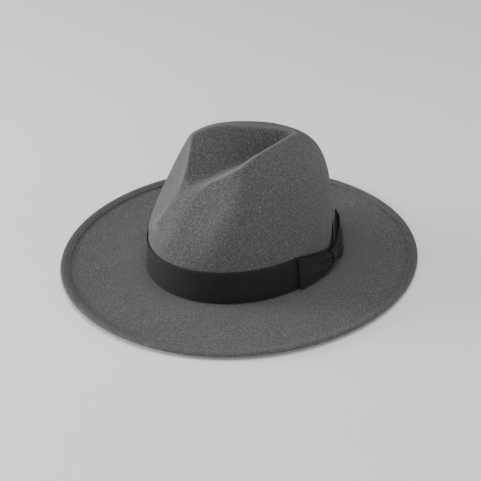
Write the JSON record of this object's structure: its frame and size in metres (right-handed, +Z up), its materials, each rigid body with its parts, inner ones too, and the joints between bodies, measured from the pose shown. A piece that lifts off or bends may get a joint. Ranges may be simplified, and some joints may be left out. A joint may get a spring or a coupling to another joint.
{
  "type": "fedora hat",
  "caption": "Wide flat-brimmed felt fedora with a creased and pinched crown, a ribbon band with a side bow, a welted brim edge and an inner sweatband.",
  "frame": {"origin": "centre of the hat's plan, on the flat underside of the brim where the hat rests on a table", "axes": "+Z up out of the crown's top, -Y towards the front of the hat, +X towards the wearer's left, the side with the bow"},
  "size_m": [0.3586, 0.3904, 0.1434],
  "materials": {
    "grey_felt": "matt wool felt with a short fuzz",
    "spring_wire": "drawn steel wire",
    "brass_tube": "crimped tube",
    "grey_thread": "sewing thread in the felt's colour",
    "black_ribbon": "grosgrain ribbon with fine cross ribs",
    "black_thread": "black sewing thread",
    "sweatband_cloth": "black knitted sweatband tape",
    "reed": "plastic cord",
    "seam_tape": "black woven tape"
  },
  "bodies": {
    "root": {"felt_body": "grey_felt", "brim_wire": "spring_wire", "wire_joiner": "brass_tube", "welt_needle_thread": "grey_thread", "welt_bobbin_thread": "grey_thread", "hat_band": "black_ribbon", "band_tack_front": "black_thread", "band_tack_back": "black_thread", "band_tack_right": "black_thread", "bow_front_loop": "black_ribbon", "bow_rear_loop": "black_ribbon", "bow_knot": "black_ribbon", "bow_tack_front": "black_thread", "bow_tack_rear": "black_thread", "sweatband": "sweatband_cloth", "sweatband_reed": "reed", "sweatband_thread": "black_thread", "sweatband_seam_tape": "seam_tape"}
  },
  "joints": []
}
